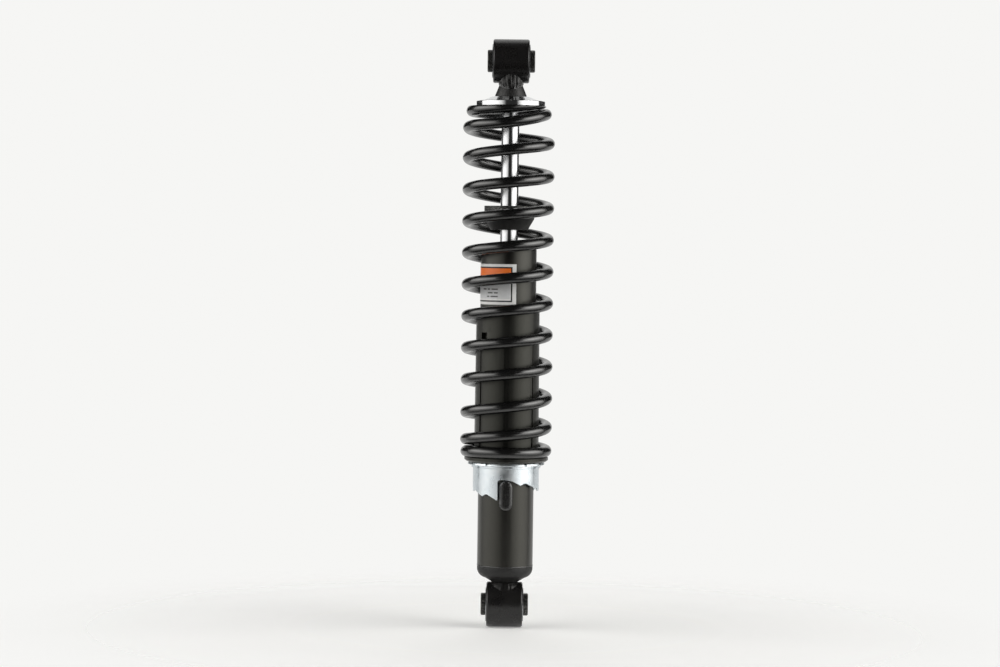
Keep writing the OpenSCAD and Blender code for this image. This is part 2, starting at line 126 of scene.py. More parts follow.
def new_piece(name, points, faces, materials, body, sharp=35, face_materials=None):
    """A closed mesh piece that rides on a CAD body."""
    mesh = bpy.data.meshes.new(name)
    mesh.from_pydata([tuple(p) for p in points], [], faces)
    for made in materials:
        mesh.materials.append(made)
    if face_materials:
        mesh.polygons.foreach_set("material_index", face_materials)
    shaped = bmesh.new()
    shaped.from_mesh(mesh)
    bmesh.ops.remove_doubles(shaped, verts=shaped.verts, dist=1e-7)
    bmesh.ops.recalc_face_normals(shaped, faces=shaped.faces)
    shaped.to_mesh(mesh)
    shaped.free()
    mesh.shade_smooth()
    mesh.set_sharp_from_angle(angle=math.radians(sharp))
    piece = bpy.data.objects.new(name, mesh)
    bpy.context.scene.collection.objects.link(piece)
    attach(piece, body)
    return piece


def strip_faces(rows, columns, close_rows=False, close_columns=True):
    """Quads between rows of points, each row with the same number of columns."""
    faces = []
    for i in range(rows if close_rows else rows - 1):
        for j in range(columns if close_columns else columns - 1):
            a, b = i * columns, (i + 1) % rows * columns
            k = (j + 1) % columns
            faces.append((a + j, a + k, b + k, b + j))
    return faces


def lathe(name, outline, material, body, segments=144, sharp=35):
    """A closed outline of (r, z) points in metres, turned about Z."""
    points = [
        (r * math.cos(turn), r * math.sin(turn), z)
        for turn in (2 * math.pi * i / segments for i in range(segments))
        for r, z in outline
    ]
    faces = strip_faces(segments, len(outline), close_rows=True)
    return new_piece(name, points, faces, [material], body, sharp)


# ---------------------------------------------------------------- materials

class Nodes:
    """A material's node tree, with short calls for what these materials use."""

    def __init__(self, name):
        self.material = bpy.data.materials.new(name)
        self.material.use_nodes = True
        self.tree = self.material.node_tree
        self.shader = self.tree.nodes["Principled BSDF"]
        self.place = self.tree.nodes.new("ShaderNodeTexCoord").outputs["Object"]

    def link(self, source, target):
        self.tree.links.new(source, target)

    def stretched(self, scale):
        mapping = self.tree.nodes.new("ShaderNodeMapping")
        mapping.inputs["Scale"].default_value = scale
        self.link(self.place, mapping.inputs["Vector"])
        return mapping.outputs["Vector"]

    def noise(self, scale, detail=4.0, roughness=0.55, stretch=(1, 1, 1)):
        noise = self.tree.nodes.new("ShaderNodeTexNoise")
        noise.inputs["Scale"].default_value = scale
        noise.inputs["Detail"].default_value = detail
        noise.inputs["Roughness"].default_value = roughness
        self.link(self.stretched(stretch), noise.inputs["Vector"])
        return noise.outputs["Fac"]

    def ramp(self, source, stops):
        ramp = self.tree.nodes.new("ShaderNodeValToRGB")
        while len(ramp.color_ramp.elements) < len(stops):
            ramp.color_ramp.elements.new(0.5)
        for element, (place, colour) in zip(ramp.color_ramp.elements, stops):
            element.position = place
            element.color = (*colour, 1)
        self.link(source, ramp.inputs["Fac"])
        return ramp.outputs["Color"]

    def spread(self, source, low, high, source_low=0.3, source_high=0.7):
        spread = self.tree.nodes.new("ShaderNodeMapRange")
        spread.inputs["From Min"].default_value = source_low
        spread.inputs["From Max"].default_value = source_high
        spread.inputs["To Min"].default_value = low
        spread.inputs["To Max"].default_value = high
        self.link(source, spread.inputs["Value"])
        return spread.outputs["Result"]

    def added(self, a, b):
        node = self.tree.nodes.new("ShaderNodeMath")
        node.operation = "ADD"
        self.link(a, node.inputs[0])
        self.link(b, node.inputs[1])
        return node.outputs[0]

    def bump(self, height, distance, strength=1.0):
        bump = self.tree.nodes.new("ShaderNodeBump")
        bump.inputs["Strength"].default_value = strength
        bump.inputs["Distance"].default_value = distance
        self.link(height, bump.inputs["Height"])
        self.link(bump.outputs["Normal"], self.shader.inputs["Normal"])

    def colour(self, source):
        self.link(source, self.shader.inputs["Base Color"])

    def roughness(self, source):
        self.link(source, self.shader.inputs["Roughness"])

    def fixed(self, **values):
        for name, value in values.items():
            self.shader.inputs[name.replace("_", " ")].default_value = value


def powder_coat():
    """Black gloss powder coat: fine orange peel under an even film."""
    n = Nodes("gloss_black_paint")
    peel = n.noise(900, detail=2)
    n.colour(n.ramp(n.noise(60), [(0.35, (0.0025, 0.0025, 0.0026)), (0.7, (0.0045, 0.0044, 0.0041))]))
    n.roughness(n.spread(n.added(peel, n.noise(140)), 0.19, 0.27, 0.8, 1.2))
    n.fixed(IOR=1.8)
    n.bump(peel, 0.03 * MM, 0.5)
    return n.material


def eye_paint():
    """Thicker black paint of the eyes, with runs and specks round the weld."""
    n = Nodes("eye_paint")
    peel = n.noise(650, detail=3)
    n.colour(n.ramp(n.noise(90), [(0.3, (0.0055, 0.0052, 0.0052)), (0.75, (0.0105, 0.0098, 0.0095))]))
    n.roughness(n.spread(n.noise(120), 0.24, 0.34))
    n.fixed(IOR=1.5)
    n.bump(peel, 0.04 * MM, 0.6)
    return n.material


def weld_coat():
    """Paint that pooled glossy over the weld metal."""
    n = Nodes("weld_paint")
    spatter = n.noise(1500, detail=4)
    n.colour(n.ramp(n.noise(700), [(0.35, (0.004, 0.004, 0.004)), (0.75, (0.014, 0.0135, 0.0125))]))
    n.roughness(n.spread(spatter, 0.16, 0.32))
    n.fixed(IOR=1.8)
    n.bump(spatter, 0.12 * MM, 0.8)
    return n.material


def tube_paint():
    """Satin black paint of the damper tube: thin, slightly warm, drawn along the tube."""
    n = Nodes("satin_black_paint")
    streaks = n.noise(240, detail=5, stretch=(1, 1, 0.08))
    n.colour(n.ramp(n.noise(35), [(0.3, (0.0045, 0.0043, 0.0038)), (0.75, (0.0085, 0.008, 0.0072))]))
    n.roughness(n.spread(streaks, 0.28, 0.36))
    n.fixed(IOR=1.65, Specular_Tint=(0.92, 0.91, 0.82, 1))
    n.bump(n.noise(1400, detail=2), 0.02 * MM, 0.5)
    return n.material


def cap_paint():
    """The same paint over the rougher pressed cap."""
    n = Nodes("cap_paint")
    grain = n.noise(900, detail=4)
    n.colour(n.ramp(n.noise(650), [(0.35, (0.002, 0.002, 0.0019)), (0.7, (0.011, 0.0107, 0.01))]))
    n.roughness(n.spread(grain, 0.42, 0.62))
    n.fixed(IOR=1.48)
    n.bump(grain, 0.07 * MM, 0.8)
    return n.material


def moulded_plastic():
    """Black moulded plastic with faint draw lines along Z."""
    n = Nodes("black_plastic")
    lines = n.noise(420, detail=4, stretch=(1, 1, 0.02))
    grain = n.noise(1600, detail=2)
    n.colour(n.ramp(lines, [(0.3, (0.0045, 0.0045, 0.0042)), (0.75, (0.0095, 0.0092, 0.0082))]))
    n.roughness(n.spread(n.added(lines, grain), 0.28, 0.38, 0.8, 1.2))
    n.fixed(IOR=1.53, Specular_Tint=(0.9, 0.9, 0.8, 1))
    n.bump(n.added(lines, grain), 0.03 * MM, 0.6)
    return n.material


def zinc_plate():
    """Bright zinc plate: bluish, softly brushed, with faint passivation clouds."""
    n = Nodes("zinc_plate")
    clouds = n.noise(110, detail=6, roughness=0.6)
    brushed = n.noise(700, detail=4, stretch=(1, 1, 0.12))
    n.colour(n.ramp(clouds, [
        (0.25, (0.62, 0.68, 0.72)), (0.55, (0.73, 0.78, 0.81)), (0.8, (0.81, 0.84, 0.85)),
    ]))
    n.roughness(n.spread(n.added(brushed, clouds), 0.26, 0.44, 0.8, 1.2))
    n.fixed(Metallic=1.0)
    n.bump(brushed, 0.02 * MM, 0.5)
    return n.material


def chrome_plate():
    """Polished hard chrome with hairline polishing marks."""
    n = Nodes("chrome_plate")
    marks = n.noise(2600, detail=3, stretch=(1, 1, 0.03))
    n.colour(n.ramp(n.noise(80), [(0.3, (0.70, 0.71, 0.73)), (0.7, (0.78, 0.785, 0.79))]))
    n.roughness(n.spread(marks, 0.15, 0.2))
    n.fixed(Metallic=1.0, Anisotropic=0.9, Anisotropic_Rotation=0.25)
    around = n.tree.nodes.new("ShaderNodeTangent")
    around.direction_type = "RADIAL"
    around.axis = "Z"
    n.link(around.outputs["Tangent"], n.shader.inputs["Tangent"])
    return n.material


def dark_steel():
    """Blackened steel, mottled where the oxide is thin."""
    n = Nodes("dark_steel")
    mottle = n.noise(900, detail=6, roughness=0.7)
    n.colour(n.ramp(mottle, [
        (0.36, (0.02, 0.02, 0.0195)), (0.55, (0.06, 0.06, 0.057)), (0.68, (0.34, 0.335, 0.31)),
    ]))
    n.roughness(n.spread(mottle, 0.34, 0.55))
    n.fixed(Metallic=0.75)
    n.bump(mottle, 0.05 * MM, 0.6)
    return n.material


def bare_steel(name="bare_steel", light=(0.5, 0.51, 0.52), dark=(0.36, 0.37, 0.38), rough=0.28):
    """Machined metal with turning marks."""
    n = Nodes(name)
    marks = n.noise(1500, detail=4, stretch=(0.2, 1, 1))
    n.colour(n.ramp(n.noise(220, detail=5), [(0.3, dark), (0.7, light)]))
    n.roughness(n.spread(marks, rough, rough + 0.14))
    n.fixed(Metallic=1.0)
    n.bump(marks, 0.01 * MM, 0.5)
    return n.material


def rubber(name="bush_rubber", dark=(0.013, 0.013, 0.0125), light=(0.027, 0.0265, 0.0255), rough=0.6):
    """Moulded rubber with a fine bloom."""
    n = Nodes(name)
    grain = n.noise(1300, detail=3)
    n.colour(n.ramp(n.noise(170, detail=6), [(0.3, dark), (0.72, light)]))
    n.roughness(n.spread(grain, rough - 0.06, rough + 0.12))
    n.fixed(IOR=1.5)
    n.bump(grain, 0.04 * MM, 0.6)
    return n.material


def plain_moulding(name, dark, light, rough):
    """Moulded or sintered material of the hidden pieces."""
    n = Nodes(name)
    grain = n.noise(1200, detail=3)
    n.colour(n.ramp(n.noise(260, detail=4), [(0.3, dark), (0.7, light)]))
    n.roughness(n.spread(grain, rough, rough + 0.12))
    n.bump(grain, 0.02 * MM, 0.5)
    return n.material


def printed_film(name, base, rough=0.3):
    """Printed label film: a flat ink with faint mottle under a semi-gloss face."""
    n = Nodes(name)
    worn = tuple(c * 0.93 for c in base)
    n.colour(n.ramp(n.noise(300, detail=5), [(0.35, worn), (0.65, base)]))
    n.roughness(n.spread(n.noise(800), rough, rough + 0.1))
    n.fixed(IOR=1.45)
    n.bump(n.noise(500, detail=2), 0.01 * MM, 0.4)
    return n.material


looks = {
    "gloss_black_paint": powder_coat(),
    "satin_black_paint": tube_paint(),
    "black_plastic": moulded_plastic(),
    "zinc_plate": zinc_plate(),
    "chrome_plate": chrome_plate(),
    "dark_steel": dark_steel(),
    "bare_steel": bare_steel(),
    "bush_rubber": rubber(),
    "seal_rubber": rubber("seal_rubber", rough=0.45),
    "bronze": plain_moulding("bronze", (0.45, 0.28, 0.12), (0.62, 0.42, 0.2), 0.35),
    "valve_alloy": bare_steel("valve_alloy", (0.72, 0.72, 0.73), (0.6, 0.6, 0.61), 0.25),
    "ptfe_band": plain_moulding("ptfe_band", (0.24, 0.17, 0.09), (0.34, 0.26, 0.16), 0.4),
    "stop_nylon": plain_moulding("stop_nylon", (0.68, 0.66, 0.6), (0.78, 0.76, 0.7), 0.4),
    "label_film": printed_film("label_film", (0.92, 0.92, 0.91)),
}
node_looks = {"lower_eye": eye_paint(), "base_cap": cap_paint()}
weld_paint = weld_coat()
node_looks["upper_eye"] = node_looks["lower_eye"]

for part in frame["record"]["subparts"]:
    mesh = frame["nodes"][part["node"]].data
    mesh.materials.clear()
    mesh.materials.append(node_looks.get(part["node"], looks[part["material_slot"]]))


# ---------------------------------------------------------------- main spring

SPRING_HALF_TURNS = 26
SPRING_START = 0.25                    # the lower end starts this many half-turns after +X
END_RISE_LOW = [-3.6, 3.6, 4.4, 12.2, 21.3, 31.6]
END_DROP_HIGH = [-2.4, 3.5, 5.6, 15.5, 26.5]
COIL_SKEW = 0.8
COIL_OFFSET = (-0.3, -1.1)             # sideways offset of the coils at the bottom and the top
STRAND_DIPS = [(23, 2.2), (25, 1.2)]   # front strands that dip: half-turn they start at, mm
FREE_FROM, FREE_TO = 3, 24             # the half-turns between which the coils open and close
WIRE_R = 4.0
MEAN_R = 29.0
LOWER_END_IN, UPPER_END_IN, UPPER_TIP_IN = 0.4, 2.4, 3.0


def half_turn_z(i, seat_z, top_z):
    """Height in mm of the wire's centre after i half-turns, as the CAD spring has it."""
    n_low = len(END_RISE_LOW) - 1
    n_high = SPRING_HALF_TURNS - len(END_DROP_HIGH) + 1
    if i <= n_low:
        return seat_z + END_RISE_LOW[max(i, 0)]
    if i >= n_high:
        return top_z - END_DROP_HIGH[SPRING_HALF_TURNS - min(i, SPRING_HALF_TURNS)]
    lean = COIL_SKEW if i % 2 else -COIL_SKEW
    share = (i - n_low) / (n_high - n_low)
    return mix(seat_z + END_RISE_LOW[-1], top_z - END_DROP_HIGH[-1], share) + lean


def wire_z(h, seat_z, top_z):
    """Height in mm of the wire's centre after h half-turns, on a smooth curve through the half-turns."""
    i = min(math.floor(h), SPRING_HALF_TURNS - 1)
    a, b, c, d = (half_turn_z(i + k, seat_z, top_z) for k in (-1, 0, 1, 2))
    t = h - i
    dip = sum(depth * math.sin(math.pi * t) ** 2 for start, depth in STRAND_DIPS if start == i)
    return b + t / 2 * (c - a + t * (2 * a - 5 * b + 4 * c - d + t * (3 * (b - c) + d - a))) - dip


def wire_turn_r(h):
    """Radius in mm of the coil after h half-turns. Both ends wind in, the upper one onto the retainer."""
    to_top = SPRING_HALF_TURNS - h
    return (
        MEAN_R
        - LOWER_END_IN * (1 - smooth_step(h / 4))
        - UPPER_END_IN * smooth_step(3 - to_top)
        - UPPER_TIP_IN * smooth_step(1 - to_top)
    )


def ground_circle(a, low, high):
    """Point at angle a of a unit circle whose parts under low and over high are ground flat."""
    for level, side in ((low, -1), (high, 1)):
        if level * side < 1:
            # angle from this side's own +X end, so that the flat lies round the quarter turn
            along = side * a
            along -= 2 * math.pi * math.floor((along + math.pi / 2) / (2 * math.pi))
            start = math.asin(level * side)
            if start < along < math.pi - start:
                return math.cos(start) * (1 - 2 * (along - start) / (math.pi - 2 * start)), level
    return math.cos(a), math.sin(a)


def follow_rod(piece, shares):
    """Move each point up and down with the rod by its share, so that the coils open and close evenly."""
    attribute = piece.data.attributes.new("travel_share", "FLOAT", "POINT")
    attribute.data.foreach_set("value", shares)
    tree = bpy.data.node_groups.new("spring_travel", "GeometryNodeTree")
    tree.interface.new_socket("Geometry", in_out="INPUT", socket_type="NodeSocketGeometry")
    tree.interface.new_socket("Geometry", in_out="OUTPUT", socket_type="NodeSocketGeometry")
    start = tree.nodes.new("NodeGroupInput")
    end = tree.nodes.new("NodeGroupOutput")
    rod = tree.nodes.new("GeometryNodeObjectInfo")
    rod.transform_space = "RELATIVE"
    rod.inputs["Object"].default_value = frame["bodies"]["rod"]
    share = tree.nodes.new("GeometryNodeInputNamedAttribute")
    share.data_type = "FLOAT"
    share.inputs["Name"].default_value = "travel_share"
    split = tree.nodes.new("ShaderNodeSeparateXYZ")
    product = tree.nodes.new("ShaderNodeMath")
    product.operation = "MULTIPLY"
    joined = tree.nodes.new("ShaderNodeCombineXYZ")
    moved = tree.nodes.new("GeometryNodeSetPosition")
    tree.links.new(rod.outputs["Location"], split.inputs[0])
    tree.links.new(split.outputs["Z"], product.inputs[0])
    tree.links.new(share.outputs["Attribute"], product.inputs[1])
    tree.links.new(product.outputs[0], joined.inputs["Z"])
    tree.links.new(start.outputs[0], moved.inputs["Geometry"])
    tree.links.new(joined.outputs[0], moved.inputs["Offset"])
    tree.links.new(moved.outputs[0], end.inputs[0])
    piece.modifiers.new("travel", "NODES").node_group = tree


def make_spring():
    low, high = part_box("main_spring")
    seat_z, top_z = low.z / MM, high.z / MM
    sides, rings_in_half_turn = 32, 30
    rings = round((SPRING_HALF_TURNS - SPRING_START) * rings_in_half_turn)
    tip = 0.5                          # rounding of the wire's cut ends, in mm
    points, shares = [], []

    def ring(h, radius, back):
        """One ring of the wire; back slides it along the wire, in mm, for the rounded tips."""
        turn = math.pi * h + back / wire_turn_r(h)
        z = wire_z(h, seat_z, top_z)
        r = wire_turn_r(h)
        aside = mix(*COIL_OFFSET, h / SPRING_HALF_TURNS)
        for j in range(sides):
            across, up = ground_circle(2 * math.pi * j / sides, (seat_z - z) / radius, (top_z - z) / radius)
            out = r + radius * across
            height = z + radius * up
            points.append(((out * math.cos(turn) + aside) * MM, out * math.sin(turn) * MM, height * MM))
            shares.append(clamp((h - FREE_FROM) / (FREE_TO - FREE_FROM)))

    ring(SPRING_START, WIRE_R - tip, 0)
    for i in range(rings + 1):
        h = mix(SPRING_START, SPRING_HALF_TURNS, i / rings)
        at_end = i in (0, rings)
        ring(h, WIRE_R, (tip if i == 0 else -tip) if at_end else 0)
    ring(SPRING_HALF_TURNS, WIRE_R - tip, 0)
    rows = rings + 3
    faces = strip_faces(rows, sides)
    faces.append(tuple(range(sides)))
    faces.append(tuple(range((rows - 1) * sides, rows * sides)))
    piece = new_piece(
        "coil_spring", points, faces, [looks["gloss_black_paint"]], "spring_seat", 28,
    )
    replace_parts(piece, "main_spring")
    follow_rod(piece, shares)


make_spring()


# ---------------------------------------------------------------- preload collar

STEP_RISE = 2.7
STEP_ANGLE = 36
STEPS = 5
WALL_ANGLE = 14.7
TIP_ANGLE = 26.6
TIP_DROP = 4.2
ROOF_GAP = 0.4                         # the skirt's steps hang this far over the lugs
RAMP_GAP = 0.2
FLANGE_R = 27.6
NOTCH_HALF = 1.2
NOTCH_DEPTH = 1.2


def step_roof(k):
    """Roof of one step as (angle past the lug, height in mm above the first step's roof)."""
    end = 180 - WALL_ANGLE - k * STEP_ANGLE if k == STEPS - 1 else TIP_ANGLE
    if k == 0:
        line = [(-WALL_ANGLE, -2.2), (-13.5, -0.7), (-10, 0), (6, 0), (9, -0.6)]
    else:
        line = [(TIP_ANGLE - STEP_ANGLE, -1.5), (-3.5, -0.2), (-2, 0), (1, 0), (3, -0.3)]
    line.append((end, -TIP_DROP))
    return [(a + k * STEP_ANGLE, z - k * STEP_RISE) for a, z in line]


def skirt_low(angle):
    """Lower edge of the stepped skirt at an angle within one half of the collar."""
    heights = [line_at(step_roof(k), angle) for k in range(STEPS)]
    return max(z for z in heights if z is not None)


def make_collar():
    """The stepped collar, as a ring of sections. Each half has five steps, and the halves are alike."""
    low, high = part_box("preload_cam")
    lug_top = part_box("stop_lugs")[1].z / MM
    tube_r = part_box("damper_tube")[1].x / MM
    roof = lug_top + ROOF_GAP
    bottom, top = low.z / MM, high.z / MM
    cam_r, skirt_in_r, in_r = 23.75, 22.5, tube_r + 0.1
    tab_r, tab_half, tab_low, flange_low = 24.9, 32, top - 4.3, top - 2.3
    edge = 0.25
    angles = set()
    for k in range(STEPS):
        angles.update(round(a, 3) for a, _ in step_roof(k))
    first, last = -WALL_ANGLE, 180 - WALL_ANGLE
    angles.update(first + 1.5 * i for i in range(121))
    for i in range(4):
        for side in (-1, 1):
            edge_angle = 90 * i + side * tab_half
            for nudge in (-0.4, 0.4):
                angles.add((edge_angle + nudge - first) % 180 + first)
    for i in range(3):
        for side in (-1, 1):
            notch_edge = 30 + 60 * i + side * math.degrees(NOTCH_HALF / FLANGE_R)
            for nudge in (-0.2, 0.2):
                angles.add((notch_edge + nudge - first) % 180 + first)
    ordered = [a for a in sorted(angles) if first <= a < last - 0.2] + [last - 0.05]
    columns = []
    for half in (0, 180):
        for a in ordered:
            at = a + half
            on_tab = abs((a + 45) % 90 - 45) <= tab_half
            outer = tab_r if on_tab else cam_r + 0.05
            off_notch = abs(at % 60 - 30) * math.pi / 180 * FLANGE_R
            flange_r = FLANGE_R - (NOTCH_DEPTH if off_notch < NOTCH_HALF else 0)
            skirt = max(roof + skirt_low(a), bottom)
            ramp = lug_top + RAMP_GAP - a * STEP_RISE / STEP_ANGLE
            section = [
                (in_r, ramp), (skirt_in_r, ramp), (skirt_in_r, skirt), (cam_r - edge, skirt),
                (cam_r, skirt + edge), (cam_r, tab_low), (outer - edge, tab_low), (outer, tab_low + edge),
                (outer, flange_low), (flange_r - 0.4, flange_low), (flange_r, flange_low + 0.4),
                (flange_r - 0.5, top - 0.3), (flange_r - 0.8, top), (in_r, top),
            ]
            turn = math.radians(at)
            columns.append([(r * math.sin(turn) * MM, -r * math.cos(turn) * MM, z * MM) for r, z in section])
    points = [p for column in columns for p in column]
    faces = strip_faces(len(columns), len(columns[0]), close_rows=True)
    piece = new_piece("preload_collar", points, faces, [looks["zinc_plate"]], "cam_collar", 32)
    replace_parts(piece, "preload_cam")


make_collar()


# ---------------------------------------------------------------- stop lugs and welds

def lumps(turn, around):
    """Uneven ripples of a hand weld, between about -1 and 1."""
    return (
        0.55 * math.sin(17 * turn + 1.3 * math.sin(5 * turn))
        + 0.3 * math.sin(29 * turn + 2 * around + 0.7)
        + 0.25 * math.sin(7 * turn - 3 * around)
    )


def make_lug(name, facing):
    """A rounded upright lug on the tube. facing is -1 at the front and 1 at the back."""
    low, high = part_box("stop_lugs")
    tube_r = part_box("damper_tube")[1].x
    half = high.x
    middle = (low.z + high.z) / 2
    straight = (high.z - low.z) / 2 - half
    rise = high.y - tube_r
    steps = 24
    # (inset from the outline, share of the lug's height)
    levels = [(0, -0.15), (0, 0.4), (0.3 * MM, 0.68), (0.9 * MM, 0.9), (1.8 * MM, 1.0), (3.2 * MM, 1.0)]
    lump = 0.25 * MM
    points = []
    for level, (inset, share) in enumerate(levels):
        r = half - inset
        for i in range(2 * steps):
            end = 1 if i < steps else -1
            a = math.pi * (i % steps) / (steps - 1) + (0 if end > 0 else math.pi)
            x, z = r * math.cos(a), middle + end * straight + r * math.sin(a)
            sag = 0.5 * (1 + lumps(2 * math.pi * i / (2 * steps), 0.8 * level)) if level > 1 else 0
            out = tube_r + rise * share - lump * sag
            points.append((x, facing * math.sqrt(out * out - x * x), z))
    faces = strip_faces(len(levels), 2 * steps)
    faces.append(tuple(range(2 * steps)))
    faces.append(tuple(range((len(levels) - 1) * 2 * steps, len(levels) * 2 * steps)))
    return new_piece(name, points, faces, [weld_paint], "damper", 60)


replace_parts(make_lug("stop_lug_front", -1), "stop_lugs")
make_lug("stop_lug_back", 1)


def bead(name, centre_line, body, radius, uneven, sides=16):
    """A closed weld bead along a loop of points. uneven is the height of its lumps over its radius."""
    n = len(centre_line)
    points = []
    for i in range(n):
        here = Vector(centre_line[i])
        along = (Vector(centre_line[(i + 1) % n]) - Vector(centre_line[i - 1])).normalized()
        across = along.cross(Vector((0, 0, 1))).normalized()
        up = across.cross(along)
        for j in range(sides):
            a = 2 * math.pi * j / sides
            r = radius * (1 + uneven * lumps(2 * math.pi * i / n, a))
            points.append(here + (across * math.cos(a) + up * math.sin(a)) * r)
    faces = strip_faces(n, sides, close_rows=True)
    new_piece(name, points, faces, [weld_paint], body, 80)


def neck_weld(name, body, material, eye_z, eye_r, side, low, high, uneven):
    """
    The weld metal that fills the corner between a neck about Z and an eye ring about X.
    side is 1 where the neck is above the eye. low and high are its outer edges on the neck and on the
    eye, as radii in mm at the sides and at the front; low also has its distances from the eye's centre.
    uneven is the height in mm of its lumps.
    """
    columns, rows, sunk, inner_r = 200, 8, 0.5 * MM, 7.3 * MM
    points = []
    for i in range(columns):
        turn = 2 * math.pi * i / columns
        front = abs(math.sin(turn)) ** 1.6

        def place(r, z):
            points.append((r * math.cos(turn), r * math.sin(turn), eye_z + side * z))

        def eye_surface(r):
            return math.sqrt(eye_r ** 2 - (r * math.sin(turn)) ** 2) - sunk

        low_r, low_z = mix(low[0], low[1], front) * MM, mix(low[2], low[3], front) * MM
        high_r = mix(high[0], high[1], front) * MM
        for j in range(rows):
            t = j / (rows - 1)
            swell = math.sin(math.pi * t)
            r = mix(low_r, high_r, t ** 1.3) + swell * (0.3 + uneven * lumps(turn, 2.5 * t)) * MM
            place(r, mix(low_z, eye_surface(high_r), t))
        place(inner_r, eye_surface(inner_r))
        place(inner_r, low_z)
    faces = strip_faces(columns, rows + 2, close_rows=True)
    new_piece(name, points, faces, [material], body, 80)


upper_z = sum(corner.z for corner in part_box("upper_sleeve")) / 2
upper_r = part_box("upper_eye")[1].z - upper_z
lower_r = -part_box("lower_eye")[0].z
neck_weld(
    "upper_neck_weld", "rod", weld_paint, upper_z, upper_r, -1, (8.1, 9.5, 17.6, 21.1), (8.5, 12.4), 0.5,
)
neck_weld(
    "lower_neck_weld", "damper", node_looks["lower_eye"], 0, lower_r, 1,
    (9.3, 9.6, 16.5, 16.5), (10.2, 12.9), 0.16,
)
tube_low, tube_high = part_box("damper_tube")
seam_r = tube_high.x - 0.25 * MM
seam = [
    (seam_r * math.cos(math.radians(i)), seam_r * math.sin(math.radians(i)), tube_low.z)
    for i in range(360)
]
bead("base_seam_weld", seam, "damper", 0.5 * MM, 0.16)


def make_shoulder():
    """The rough-painted shoulder of the upper eye, over the retainer."""
    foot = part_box("spring_retainer")[1].z / MM
    # (radius, height over the retainer)
    outline = [(6.5, 0.02), (11.28, 0.02), (11.28, 0.65), (8.8, 6.85), (8.3, 8.05), (8.3, 10.0), (6.5, 10.0)]
    outline = [(r * MM, (foot + z) * MM) for r, z in outline]
    lathe("upper_shoulder", outline, node_looks["base_cap"], "rod")


make_shoulder()


# ---------------------------------------------------------------- identity label

def make_label():
    """A wrap-round label with generic print: a frame line, an orange band and a grey panel."""
    low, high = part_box("identity_label")
    outer_r, inner_r = -low.y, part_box("damper_tube")[1].x
    right, left = -74.0, -224.0        # edges, in degrees from +X
    degrees = 180 / math.pi / (outer_r / MM)
    width, height = (right - left) / degrees, (high.z - low.z) / MM
    inks = [
        looks["label_film"], printed_film("label_black", (0.02, 0.02, 0.02)),
        printed_film("label_orange", (0.95, 0.2, 0.03)), printed_film("label_grey", (0.76, 0.77, 0.78)),
        printed_film("label_print", (0.10, 0.10, 0.10)),
    ]
    side, end, line = 2.9, 2.0, 1.0
    band = 9.0
    # (ink, from the right edge, to, from the top, to), in mm along the film, later ones on top
    fields = [
        (0, 0, width, 0, height),
        (1, side, width - side, end, height - end),
        (0, side + line, width - side - line, end + line, height - end - line),
        (2, side + line, width - side - line, end + line, end + line + band),
        (3, side + line + 0.7, width - side - line - 0.7, end + line + band + 0.6, height - end - line - 1.2),
    ]
    top = end + line + band + 5.5
    for row, bars in enumerate([[5.2, 2.6, 3.8], [3.1, 4.4], [6.0, 2.2]]):
        at = side + line + 9.5
        for bar in bars:
            fields.append((4, at, at + bar, top + 2.6 * row, top + 2.6 * row + 0.9))
            at += bar + 1.1
    across = sorted(
        {round(x, 4) for f in fields for x in f[1:3]} | {round(width * i / 60, 4) for i in range(61)}
    )
    down = sorted({round(z, 4) for f in fields for z in f[3:5]})

    def place(x, z, r):
        turn = math.radians(right - x * degrees)
        return (r * math.cos(turn), r * math.sin(turn), high.z - z * MM)

    points = [place(x, z, r) for r in (outer_r, inner_r) for x in across for z in down]
    rows, columns = len(across), len(down)
    back = rows * columns
    faces, inks_used = [], []
    for i in range(rows - 1):
        for j in range(columns - 1):
            x, z = (across[i] + across[i + 1]) / 2, (down[j] + down[j + 1]) / 2
            ink = [f[0] for f in fields if f[1] < x < f[2] and f[3] < z < f[4]][-1]
            a = i * columns + j
            faces.append((a, a + 1, a + columns + 1, a + columns))
            inks_used.append(ink)
            faces.append((back + a, back + a + columns, back + a + columns + 1, back + a + 1))
            inks_used.append(0)
    rim = (
        [(i * columns, (i + 1) * columns) for i in range(rows - 1)]
        + [((rows - 1) * columns + j, (rows - 1) * columns + j + 1) for j in range(columns - 1)]
        + [((i + 1) * columns - 1 + columns, (i + 1) * columns - 1) for i in range(rows - 2, -1, -1)]
        + [(j + 1, j) for j in range(columns - 2, -1, -1)]
    )
    for a, b in rim:
        faces.append((a, b, back + b, back + a))
        inks_used.append(0)
    piece = new_piece("printed_label", points, faces, inks, "damper", 40, inks_used)
    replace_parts(piece, "identity_label")


make_label()


# ---------------------------------------------------------------- bump stop

def make_bump_stop():
    low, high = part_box("bump_stop")
    r, bottom, top = high.x, low.z, high.z
    r_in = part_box("piston_rod")[1].x + 0.03 * MM
    outline = rounded([
        (r_in, bottom), (r - 4.6 * MM, bottom), (r - 3.5 * MM, top - 12 * MM),
        (r - 0.2 * MM, top - 6.4 * MM),
        (r, top - 5.2 * MM), (r, top), (r_in, top),
    ], 0.7 * MM)
    piece = lathe("rubber_bump_stop", outline, looks["bush_rubber"], "bump_stop_body")
    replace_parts(piece, "bump_stop")


make_bump_stop()


# ---------------------------------------------------------------- stage, light and camera

WORLD_TONE = (0.921, 0.920, 0.905)
FLOOR_R = 0.5
FLOOR_FADE = (0.06, 0.42)              # the floor fades out between these distances
DOME_R = 4.5
LIGHT_TINT = (1.0, 0.99, 0.965, 1)


